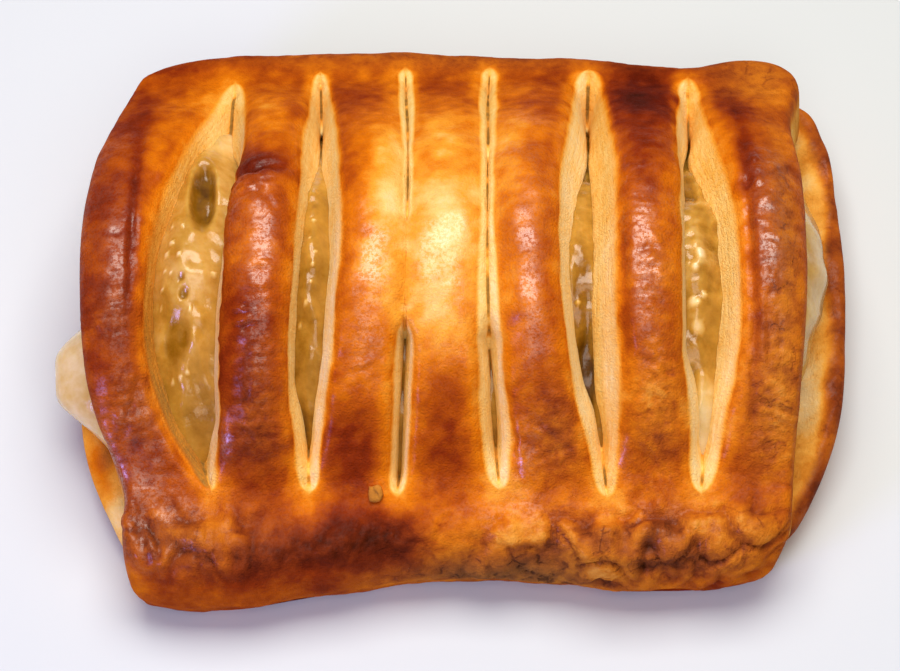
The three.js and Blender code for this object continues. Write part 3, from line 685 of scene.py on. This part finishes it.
# Creases, each as (x, walk) of both its ends, half width and depth:
CREASES = [
    (-54, -17.5, -48, -16, 0.5, 0.35), (-53.5, -12.5, -48.5, -11.5, 0.4, 0.25),
    (-50, -45, -38, -49.5, 0.7, 0.4), (-48, 4, -48.4, -9, 0.25, 0.2), (-47.6, 24, -48.2, -12, 0.5, 0.5),
    (-46, -22, -49, -33, 0.5, 0.25), (-34.5, 4, -35, -36, 0.7, 0.4), (-34, 7.5, -24.5, 9, 0.9, 0.6),
    (-33, -31, -28.5, -35.5, 0.5, 0.35), (-33, -12.5, -27.5, -13.5, 0.4, 0.2),
    (-32.5, -18, -27, -17, 0.4, 0.25), (-31, 6.5, -26.5, 0.5, 0.5, 0.35), (-26, -45, -36, -48, 0.6, 0.3),
    (2, -51, 10, -50, 0.6, 0.3), (7, -30, 10, -42, 0.6, 0.4), (11.5, -31, 16, -36.5, 0.5, 0.35),
    (12, -38, 18, -35, 0.4, 0.3), (17, -49, 24, -46.2, 0.6, 0.5), (20.4, -58.6, 24.8, -57, 0.9, 0.9),
    (24, -46.2, 31, -46, 0.6, 0.5), (24.6, 12, 25, -22, 0.6, 0.4), (25, -53, 31, -54.4, 0.9, 0.9),
    (25.6, -50.4, 30, -50.6, 1.1, 0.6), (26.5, -35, 32, -43, 0.6, 0.35), (26.5, -6.5, 31, -5, 0.3, 0.2),
    (27, -22, 32, -24.5, 0.4, 0.3), (28, -43, 30, -47, 0.7, 0.5), (31, -46, 37, -50.5, 0.6, 0.5),
    (40, -55, 38, -62, 0.9, 0.8), (43, -57, 45.4, -57, 0.9, 0.6), (43.6, 34, 44, -34, 0.6, 0.5),
    (44.5, -27.5, 50, -29.5, 0.5, 0.4),
]
# Small round blisters, each as x, walk, radius and height:
BLISTERS = [
    (2, -52, 1.1, 0.5), (13, -51, 1.6, 0.5), (45, 13.2, 0.8, 0.3), (45.4, 8.4, 0.9, 0.3),
    (45.6, 11, 0.6, 0.25), (46.2, 5, 1.2, 0.35), (46.6, 15.8, 0.9, 0.35), (47.8, 11.8, 1.0, 0.4),
]


def lid_lines(count):
    """Outer and inner line of the lid as count (y, z) places, evenly spaced along the outer one."""
    section = np.array(LID_SECTION)
    walked = np.concatenate([[0], np.cumsum(np.linalg.norm(np.diff(section[:, :2], axis=0), axis=1))])
    fine = np.linspace(0, walked[-1], 4000)
    lines = np.stack([through(np.stack([walked, line], axis=1), fine) for line in section.T], axis=1)
    length = np.concatenate([[0], np.cumsum(np.linalg.norm(np.diff(lines[:, :2], axis=0), axis=1))])
    even = np.linspace(0, length[-1], count)
    return np.stack([np.interp(even, length, line) for line in lines.T], axis=1)


def on_walls(left_of_cut, right_of_cut, at_ends):
    """Values along the left and right walls of the cuts, as those of the left and the right wall of
    every band. The outermost walls are the lid's free ends, and take at_ends."""
    ends = np.full((LID_ROWS, 1), float(at_ends))
    left = np.concatenate([ends, right_of_cut], axis=1)
    return left[..., None], np.concatenate([left_of_cut, ends], axis=1)[..., None]


def opened(y):
    """How far the lid has arched at depth y: 0 at both creases, and soon 1."""
    along = np.clip((y - CREASE_FRONT) / (CREASE_BACK - CREASE_FRONT), 0, 1)
    return np.sin(math.pi * along) ** 0.7


def softened(line, rounds):
    """Each place moved to the mean of itself and its two neighbours along the last axis but one,
    several times over, with the end places held."""
    for _ in range(rounds):
        inner = (line[..., :-2, :] + 2 * line[..., 1:-1, :] + line[..., 2:, :]) / 4
        line = np.concatenate([line[..., :1, :], inner, line[..., -1:, :]], axis=-2)
    return line


def patches(unrolled, listed):
    """Sum of soft oval patches, each given as (x, walk, half width, half length, amount)."""
    total = np.zeros(unrolled.shape[:-1])
    for across_at, along_at, wide, long, amount in listed:
        out = ((unrolled[..., 0] - across_at) / wide) ** 2 + ((unrolled[..., 1] - along_at) / long) ** 2
        total += amount * np.exp(-out * 0.9)
    return total


def cushions(unrolled, listed, which):
    """Sum of cushions with flat tops and steep edges; which picks the value they carry."""
    total = np.zeros(unrolled.shape[:-1])
    for cushion in listed:
        out = ((unrolled[..., 0] - cushion[0]) / cushion[2]) ** 2
        out += ((unrolled[..., 1] - cushion[1] + 0.8 * swell(unrolled, 4, 45)) / cushion[3]) ** 8
        total += cushion[which] * np.exp(-out)
    return total


def furrows(unrolled, spacing, seed):
    """Wrinkles that run across the bands, sharp below and round above, from -1 to 1: the folded
    sine of the walk, made uneven by two swells."""
    bend = 0.9 * swell(unrolled, 7, seed) + 0.35 * swell(unrolled, 2.4, seed + 1)
    wave = np.abs(np.sin(unrolled[..., 1] * math.pi / spacing + bend))
    return (2 * wave ** 0.7 - 1) * (0.65 + 0.35 * swell(unrolled, 4, seed + 2))


def scattered(unrolled, size, dice):
    """Centres strewn over the unrolled lid, one to every square of a size."""
    places = unrolled[..., :2].reshape(-1, 2)
    low, high = places.min(axis=0), places.max(axis=0)
    return dice.uniform(low, high, (int(np.prod(high - low) / size**2), 2))


def bent(unrolled, amount, length, seed):
    """Places of the unrolled lid shifted by two swells, so that straight edges come out wavy."""
    shift = [swell(unrolled, length, seed + 1), swell(unrolled, length, seed + 2)]
    return unrolled[..., :2] + amount * np.stack(shift, axis=-1)


def plates(unrolled, size, seed):
    """Torn flakes lying on each other, from about -1 to 1: each place belongs to the nearest of
    many scattered plates and lies on that plate's own height and tilt."""
    dice = np.random.default_rng(seed)
    centres = scattered(unrolled, size, dice)
    height = dice.uniform(-0.6, 0.6, len(centres))
    tilt = dice.normal(0, 0.3 / size, (len(centres), 2))
    flat_places = bent(unrolled, 0.35 * size, size, seed).reshape(-1, 2)
    nearest = np.zeros(len(flat_places), int)
    best = np.full(len(flat_places), np.inf)
    for number, centre in enumerate(centres):
        away = (flat_places[:, 0] - centre[0]) ** 2 + 1.7 * (flat_places[:, 1] - centre[1]) ** 2
        closer = away < best
        best[closer] = away[closer]
        nearest[closer] = number
    offset = flat_places - centres[nearest]
    return (height[nearest] + (offset * tilt[nearest]).sum(-1)).reshape(unrolled.shape[:-1])


def pillows(unrolled, size, seed):
    """Soft lumps pressed together, 0 in the clefts between them and 1 on top: the root of how much
    nearer the nearest of many scattered centres is than the second nearest."""
    places = bent(unrolled, 0.3 * size, 1.2 * size, seed)
    nearest = np.full(unrolled.shape[:-1], np.inf)
    second = nearest.copy()
    for centre in scattered(unrolled, size, np.random.default_rng(seed)):
        away = np.hypot(0.75 * (places[..., 0] - centre[0]), 1.3 * (places[..., 1] - centre[1]))
        second = np.minimum(second, np.maximum(nearest, away))
        nearest = np.minimum(nearest, away)
    return np.sqrt(np.clip((second - nearest) / (0.8 * size), 0, 1))


def creased(unrolled, listed):
    """Sum of creases, each given as (x, walk, x, walk, half width, depth): a valley with soft banks
    along the line between its two ends."""
    total = np.zeros(unrolled.shape[:-1])
    for x1, walk1, x2, walk2, wide, depth_mm in listed:
        run = np.array([x2 - x1, walk2 - walk1])
        away = unrolled[..., :2] - [x1, walk1]
        along = np.clip(away @ run / (run @ run), 0, 1)
        distance = np.hypot(away[..., 0] - along * run[0], away[..., 1] - along * run[1])
        distance += 0.3 * wide * swell(unrolled, 3, 36)
        fade = np.sin(math.pi * np.clip(along, 0.04, 0.96)) ** 0.5
        bank = 0.3 * np.exp(-(((distance - 2.2 * wide) / wide) ** 2))
        total -= depth_mm * fade * (np.exp(-((distance / wide) ** 2)) - bank)
    return total


def blisters(unrolled, listed):
    """Sum of small round bubbles, each given as (x, walk, radius, height)."""
    total = np.zeros(unrolled.shape[:-1])
    for across_at, along_at, radius, height in listed:
        out = ((unrolled[..., 0] - across_at) ** 2 + (unrolled[..., 1] - along_at) ** 2) / radius**2
        total += height * np.sqrt(np.clip(1 - out, 0, 1))
    return total


line = lid_lines(LID_ROWS)
y_out, z_out, y_in, z_in = line.T
walk = np.concatenate([[0], np.cumsum(np.hypot(np.diff(y_out), np.diff(z_out)))])
walk -= walk[np.argmax(z_out)]


def from_ends(cut, y):
    """How far depth y lies behind a cut's front end, and before its back end."""
    return y - cut["ends"][0], cut["ends"][1] - y


def bridged(cut, y):
    """How far a cut has stayed shut at depth y, and what then is left of its width and depth."""
    low, high, wide, deep = cut.get("bridge", (0, 0, 1, 1))
    held = ease(low - 2.5, low + 1, y) * ease(high + 2.5, high - 1, y) * ("bridge" in cut)
    return held, mixed(1, wide, held), mixed(1, deep, held)


def opened_lips(cut, y):
    """X of a cut's two lips at depth y. They meet in a half round at both ends."""
    left, right = through(cut["left"], y), through(cut["right"], y)
    half = (right - left) / 2
    inside = np.minimum(*from_ends(cut, y))
    round_end = np.sqrt(1 - (1 - np.clip(inside / (1.5 * half), 0, 1)) ** 2)
    half_open = np.maximum(half * round_end * bridged(cut, y)[1], 0.03)
    return (left + right) / 2 - half_open, (left + right) / 2 + half_open


def sunken(cut, y):
    """How deep a cut goes at depth y, from 0 to 1: a shallow floor at both ends, then right
    through."""
    front, back = from_ends(cut, y)
    front_tip, back_tip = cut["tips"]
    past_tips = ease(0.35 * front_tip, front_tip, front) * ease(0.35 * back_tip, back_tip, back)
    tip = CUT_TIP_FLOOR * ease(0, 1.6, np.minimum(front, back)) + (1 - CUT_TIP_FLOOR) * past_tips
    low, high, part = cut.get("groove", (0, 0, 1))
    only_part = mixed(1, part, ease(low - 5, low + 2, y) * ease(high + 2, high - 2, y))
    return tip * bridged(cut, y)[2] * only_part


def met(cut, y):
    """How far a cut's walls have come together at depth y: wholly near its ends, then less and
    less."""
    front, back = from_ends(cut, y)
    front_long, back_long = cut["meets"]
    return np.maximum(ease(front_long, 0.4 * front_long, front), ease(back_long, 0.4 * back_long, back))


lips = np.array([opened_lips(cut, y_out) for cut in CUTS])
left_lips, right_lips = lips[:, 0].T, lips[:, 1].T
sunk = np.stack([sunken(cut, y_out) for cut in CUTS], axis=1)
gap = right_lips - left_lips
toward_back = ease(CREASE_FRONT, CREASE_BACK, y_out)[:, None]
lean = np.array([cut["lean"] for cut in CUTS])
left_lean = mixed(lean[:, 0, 0], lean[:, 0, 1], toward_back) * sunk
right_lean = mixed(lean[:, 1, 0], lean[:, 1, 1], toward_back) * sunk
shut = np.minimum(1, (gap - LEAST_GAP) / np.maximum(left_lean + right_lean, 0.01))
drawn_in = np.maximum(ease(RIGHT_THROUGH, 0.5, sunk), np.stack([met(cut, y_out) for cut in CUTS], axis=1))
half_gap = np.maximum(gap - LEAST_GAP, 0.02) * 0.5
left_run = mixed(left_lean * shut, half_gap, drawn_in)
right_run = mixed(right_lean * shut, half_gap, drawn_in)

# For every band: x of its two upper edges, how far each wall leans out below them and in how bowed a
# line, and how deep it goes.
edge_left = np.concatenate([through(LID_LEFT, walk)[:, None], right_lips], axis=1)[..., None]
edge_right = np.concatenate([left_lips, through(LID_RIGHT, walk)[:, None]], axis=1)[..., None]
wall_left, wall_right = on_walls(left_run, right_run, END_LEAN)
bow_left, bow_right = on_walls(1 - 0.5 * drawn_in, 1 - 0.5 * drawn_in, 1)
deep_left, deep_right = on_walls(sunk, sunk, 1)

# A band's columns run up its left wall, across its top and down its right wall. left_q and right_q are
# how far down each wall a column is, and across how far over the top.
down = np.linspace(1, 0, WALL_COLUMNS, endpoint=False)
left_q = np.concatenate([down, np.zeros(TOP_COLUMNS + WALL_COLUMNS)])
right_q = left_q[::-1]
across = np.concatenate([np.zeros(WALL_COLUMNS), np.linspace(0, 1, TOP_COLUMNS), np.ones(WALL_COLUMNS)])
x = mixed(edge_left, edge_right, across) - wall_left * left_q**bow_left + wall_right * right_q**bow_right
wall_depth = deep_left * left_q + deep_right * right_q
arch = opened(y_out)[:, None, None]
dome = np.abs(2 * across - 1) ** 2.4
outer_y = mixed(y_out[:, None, None], y_in[:, None, None], WALL_REACH * wall_depth)
outer_z = mixed(z_out[:, None, None], z_in[:, None, None], WALL_REACH * wall_depth)
outer_z = outer_z + arch * (BAND_LIFT - CROWN * dome - end_drop(x))
sheet = softened(np.stack([x, wander(x, outer_y), outer_z], axis=-1), 7)

# Wrinkles, lumps, flakes, creases and blisters raise it along its normals, but hardly on the walls.
unrolled = np.stack([x, walk[:, None, None] + 0 * x, 0 * x], axis=-1)
lid_walk = unrolled[..., 1]
normal = facing(sheet)
flaky = np.clip(patches(unrolled, FLAKY), 0, 1)
fine = 0.50 * furrows(unrolled, 2.0, 34) * np.clip(patches(unrolled, FURROWED), 0, 1)
rim_lumps = ease(-38, -44, lid_walk) * ease(-63, -58, lid_walk)
lumps = pillows(unrolled, 7.0, 47)
small_lumps = pillows(unrolled, 2.6, 48)
fine += (2.0 * (lumps - 0.5) + 0.5 * swell(unrolled, 9, 38)) * flaky * rim_lumps
fine += (0.28 * plates(unrolled, 3.4, 35) + 0.50 * (small_lumps - 0.5)) * flaky * (1 - 0.6 * rim_lumps)
fine += creased(unrolled, CREASES) + blisters(unrolled, BLISTERS)
relief = 0.15 * swell(unrolled, 13, 31) + 0.035 * swell(unrolled, 4.5, 32) + 0.02 * swell(unrolled, 1.8, 33)
relief = (relief + fine) * (0.35 + 0.65 * ease(54, 46, np.abs(x))) + patches(unrolled, LIFTS)
relief = relief + cushions(unrolled, PUFFED, 4)
sheet = sheet + normal * (relief * (1 - 0.85 * ease(0, 0.25, wall_depth)))[..., None]

# The inner face is plain, and spans each band in a few columns.
under_share = np.linspace(0, 1, UNDER_COLUMNS)
under_x = mixed(sheet[:, :, :1, 0], sheet[:, :, -1:, 0], under_share)
under_z = z_in[:, None, None] + arch * (BAND_LIFT - 0.9 * CROWN - end_drop(under_x))
under_y = wander(under_x, y_in[:, None, None] + 0 * under_x)
under = np.stack([under_x, under_y, np.maximum(under_z, UNDER_FLOOR)], axis=-1)

# The faces: both sides of every band, its walls, and across each cut a floor where it is shallow and
# an opening where it goes right through.
over_index = np.arange(x.size).reshape(x.shape)
under_index = x.size + np.arange(under_x.size).reshape(under_x.shape)
through_rows = sunk > RIGHT_THROUGH
through_cells = through_rows[:-1] & through_rows[1:]


def strip(first, second):
    """Quads between two lines of corner numbers of the same length."""
    return quads(np.stack([first, second], axis=1))


lid_faces = [quads(over_index[:, band]) for band in range(BANDS)]
lid_faces += [quads(under_index[:, band])[:, ::-1] for band in range(BANDS)]
lid_faces.append(strip(under_index[:, 0, 0], over_index[:, 0, 0]))
lid_faces.append(strip(over_index[:, -1, -1], under_index[:, -1, -1]))
for cut in range(len(CUTS)):
    whole = ~through_cells[:, cut]
    over_left, over_right = over_index[:, cut, -1], over_index[:, cut + 1, 0]
    under_left, under_right = under_index[:, cut, -1], under_index[:, cut + 1, 0]
    lid_faces.append(strip(over_left, over_right)[whole])
    lid_faces.append(strip(under_right, under_left)[whole])
    lid_faces.append(strip(over_left, under_left)[~whole])
    lid_faces.append(strip(under_right, over_right)[~whole])
    turns = np.flatnonzero(np.diff(through_cells[:, cut].astype(int))) + 1
    corners_round = np.array([over_left, over_right, under_right, under_left])
    for first, last in turns.reshape(-1, 2):
        lid_faces.append(np.stack([corners_round[:, first], corners_round[::-1, last]]))
lid_faces = np.concatenate(lid_faces).tolist()
for row, turned in ((0, False), (-1, True)):
    hem_over = over_index[row].reshape(-1)
    hem_under = under_index[row].reshape(-1)
    closing = hem_under.tolist() + hem_over[::-1].tolist()
    lid_faces.append(closing[::-1] if turned else closing)


def reach(cut, y):
    """How much of the pale, stretched dough of a cut shows at depth y: 1 along the cut, and nothing
    from just past its ends, or on a bridge."""
    inside = np.minimum(*from_ends(cut, y))
    held, wide, _ = bridged(cut, y)
    return ease(-0.7, 1.2, inside) * (1 - held * (wide < 0.5))


def walled(values, at_ends, low, high):
    """A mark of the cuts on the walls of the bands: nothing down to the share low of their depth, and
    all of it from the share high on."""
    left, right = on_walls(values, values, at_ends)
    return np.maximum(left * ease(low, high, left_q), right * ease(low, high, right_q))


# How brown the top of the bands is, with some painted shade and painted highlight in it, and the gold
# along the edges and round the ends of the cuts.
stretched = np.stack([reach(cut, y_out) for cut in CUTS], axis=1)
pale_left, pale_right = on_walls(stretched, stretched, 0)
width = edge_right - edge_left
gold_wide = np.array([(0.5, 0.5)] + [cut["gold"] for cut in CUTS] + [(0.5, 0.5)])
gold_left, gold_right = gold_wide[:-1, 1, None], gold_wide[1:, 0, None]
gold = np.maximum(pale_left * ease(1, 0, across * width / gold_left),
                  pale_right * ease(1, 0, (1 - across) * width / gold_right))
gold = gold * np.clip(0.75 + 0.3 * swell(unrolled, 5, 44), 0, 1)
level = np.interp(x, BAND_X, BAND_BROWN) + cushions(unrolled, PUFFED, 5)
level += patches(unrolled, BROWNING_AND_PAINTED_LIGHT) + 0.03 * swell(unrolled, 9, 41) + 0.02 * swell(unrolled, 3, 42)
# Painted shade: darker in the valleys of wrinkles and creases and in the clefts between lumps, paler on their
# tops.
level -= 0.06 * np.clip(fine, -0.8, 0.8)
level += (0.24 * (0.5 - lumps) * rim_lumps + 0.14 * (0.45 - small_lumps)) * flaky
level += 0.05 * ease(18, 32, lid_walk)
for cut in CUTS:
    for y_end, amount in zip(cut["ends"], (0.8, 0.5)):
        row = np.argmin(np.abs(y_out - y_end) + 99 * (z_out < 10))
        tip_x = np.mean([through(cut[lip], y_end) for lip in ("left", "right")])
        at_tip = spot(x, lid_walk, tip_x, walk[row], *TIP_GOLD)
        level = mixed(level, np.minimum(level, TIP_LEVEL), amount * at_tip)
brown_and_painted_light = mixed(level, np.minimum(level, GOLD_LEVEL), 0.8 * gold)

# How brown the walls of the cuts are, with painted shade as a dark line where they have come
# together, and the lid's two ends.
walls = np.array([cut["wall"] for cut in CUTS])
wall_levels = mixed(walls[:, :, 0], walls[:, :, 1], toward_back[..., None])
wall_brown = np.where(left_q > 0, *on_walls(wall_levels[..., 0], wall_levels[..., 1], 0))
on_wall = walled(stretched, 0, 0, 0.25)
from_end = np.stack([np.minimum(*from_ends(cut, y_out)) for cut in CUTS], axis=1)
beside_left, beside_right = on_walls(ease(0, 2, from_end), ease(0, 2, from_end), 0)
beside = np.maximum(beside_left * (left_q > 0), beside_right * (right_q > 0))
brown_and_painted_light = mixed(brown_and_painted_light, np.minimum(brown_and_painted_light, BESIDE_LEVEL), beside)
brown_and_painted_light = mixed(brown_and_painted_light, wall_brown, on_wall)
# Painted shade: a broken dark line low on the walls where they have come together.
ragged = np.clip(0.8 + 0.35 * swell(unrolled, 6, 46) + 0.15 * swell(unrolled, 2.4, 50), 0, 1)
painted_crack_shade = 0.9 * walled(drawn_in**3 * ease(0.5, 2.2, from_end), 0, 0.84, 1) * on_wall * ragged
brown_and_painted_light = mixed(brown_and_painted_light, CRACK_SHADE_LEVEL, painted_crack_shade)
at_end = walled(0 * stretched, 1, 0.1, 0.5)
brown_and_painted_light = mixed(brown_and_painted_light, 0.34 + 0.05 * swell(sheet, 6, 49), at_end)
cut_mark = np.maximum(walled(stretched, 0, 0.05, 0.4), 0.7 * at_end)
leaf = LEAVES * wall_depth
wash = 0.03 + 0.06 * ease(-46, -38, lid_walk) * ease(30, 10, lid_walk)
wash = np.clip(wash + patches(unrolled, WASHED) * (1 + 0.25 * swell(unrolled, 3, 43)), 0, 1) * (1 - on_wall)
# The dusty hem patch greys it through the dry colours, as painted shade.
dull = np.clip(flaky + patches(unrolled, DUSTY_AND_SHADE), 0, 2)
lid_corners = np.concatenate([sheet.reshape(-1, 3), under.reshape(-1, 3)])
# The browning mark also carries painted shade and painted highlight, and the flaky mark the painted shade of
# the hem.
outer_marks = {"browning": brown_and_painted_light, "cut": np.clip(cut_mark, 0, 1), "leaf": leaf, "wash": wash,
               "flaky": dull * (1 - on_wall)}
lid_marks = {}
for name, values in outer_marks.items():
    inner_values = np.full(under_x.size, INNER_MARKS.get(name, 0.0))
    lid_marks[name] = np.concatenate([values.ravel(), inner_values])
piece("slashed_lid", lid_corners, lid_faces, lid_marks, dough_material("lid_dough", 0.45), "crust")

# ---------------------------------------------------------------- crumb
# One pale crumb of dough, about two and a half millimetres across. It has fallen on the front rim of
# the lid and stuck there in the egg wash.

CRUMB_PLACE = (-11.5, -43.2)
CRUMB_HALF = (1.15, 1.3, 0.7)
CRUMB_LIFT = 0.4
CRUMB_GRID = 23


def footing(place):
    """The point of the lid nearest to an (x, walk), with the two ways along the crust and the one
    out of it."""
    on_top = (across > 0.05) & (across < 0.95)
    plan = unrolled[:, :, on_top].reshape(-1, 3)[:, :2]
    found = np.argmin(((plan - place) ** 2).sum(axis=1))
    outward = facing(sheet)[:, :, on_top].reshape(-1, 3)[found]
    first = np.cross(outward, [0.0, 0.0, 1.0] + 0.01 * outward)
    first /= np.linalg.norm(first)
    return sheet[:, :, on_top].reshape(-1, 3)[found], first, np.cross(outward, first), outward


foot, first, second, out = footing(CRUMB_PLACE)
u, v = np.meshgrid(np.linspace(-1, 1, CRUMB_GRID), np.linspace(-1, 1, CRUMB_GRID))
rounded = 1 / np.sqrt(1 + 0.6 * u**2 * v**2)
high = CRUMB_HALF[2] * np.sqrt((1 - u**4) * (1 - v**4))[..., None]
rough = rounded[..., None] * (1 + 0.07 * swell(np.stack([u, v, 0 * u], axis=-1), 1.6, 66)[..., None])
plan = CRUMB_HALF[0] * u[..., None] * first + CRUMB_HALF[1] * v[..., None] * second
flat = foot + CRUMB_LIFT * out + rough * plan
crumb_corners, crumb_faces = closed_sheet(flat + rough * high * out, flat - high * out)
nothing = np.zeros(len(crumb_corners))
crumb_marks = {"browning": nothing + 0.42, "cut": nothing + 0.25, "leaf": nothing, "wash": nothing,
               "flaky": nothing + 2.0}
piece("crumb", crumb_corners, crumb_faces, crumb_marks, dough_material("crumb_dough", 0.25), "crust")

# ---------------------------------------------------------------- table, light and camera
# What the pastry stands on is left plain and pale. Two soft warm boxes light it from above, and a
# small cool one gives the gleam at its front left.

FLOOR_HALF = 3
FLOOR_LEVEL = -5e-5
FLOOR_SHADER = {"Base Color": (0.72, 0.79, 0.86, 1), "Roughness": 0.9}
WORLD_TINT = (1.0, 0.93, 0.85, 1)
WORLD_STRENGTH = 0.14
LAMP_AIM = (0, 0, 0.02)


def area_light(name, place, size, power, tint):
    """A soft box at place, turned to the pastry, in metres."""
    lamp = bpy.data.lights.new(name, "AREA")
    lamp.shape = "RECTANGLE"
    lamp.size, lamp.size_y = size
    lamp.energy = power
    lamp.color = tint
    made = placed(name, lamp)
    made.location = place
    way = np.array(place) - np.array(LAMP_AIM)
    made.rotation_euler = (math.atan2(math.hypot(way[0], way[1]), way[2]), 0, math.atan2(way[0], -way[1]))


floor_mesh = bpy.data.meshes.new("floor")
floor_mesh.from_pydata([(-FLOOR_HALF, -FLOOR_HALF, FLOOR_LEVEL), (FLOOR_HALF, -FLOOR_HALF, FLOOR_LEVEL),
                        (FLOOR_HALF, FLOOR_HALF, FLOOR_LEVEL), (-FLOOR_HALF, FLOOR_HALF, FLOOR_LEVEL)],
                       [], [(0, 1, 2, 3)])
floor = placed("floor", floor_mesh)
floor_mesh.materials.append(material_of("pale_floor", FLOOR_SHADER)[0])

world = bpy.data.worlds.new("studio")
world.use_nodes = True
sky = world.node_tree.nodes["Background"].inputs
sky["Color"].default_value = WORLD_TINT
sky["Strength"].default_value = WORLD_STRENGTH
bpy.context.scene.world = world

TARGET = np.array([-0.0007, -0.006, 0.017])
area_light("overhead_box", (0.0, 0.12, 0.55), (0.44, 0.36), 3.1, (1.0, 0.92, 0.82))
area_light("front_fill", (0.05, -0.34, 0.53), (0.42, 0.34), 1.1, (1.0, 0.9, 0.8))
area_light("cool_side", (-0.46, -0.43, 0.22), (0.18, 0.16), 1.8, (0.42, 0.38, 1.0))

CAMERA_TILT = math.radians(60)
CAMERA_DISTANCE = 0.5
CAMERA_LENS = 132
CAMERA_SENSOR = 36
lens = bpy.data.cameras.new("camera")
lens.lens = CAMERA_LENS
lens.sensor_width = CAMERA_SENSOR
camera = placed("camera", lens)
away = np.array([0, -math.cos(CAMERA_TILT), math.sin(CAMERA_TILT)])
camera.location = TARGET + CAMERA_DISTANCE * away
camera.rotation_euler = (math.pi / 2 - CAMERA_TILT, 0, 0)
bpy.context.scene.camera = camera
bpy.context.scene.view_settings.view_transform = "Standard"
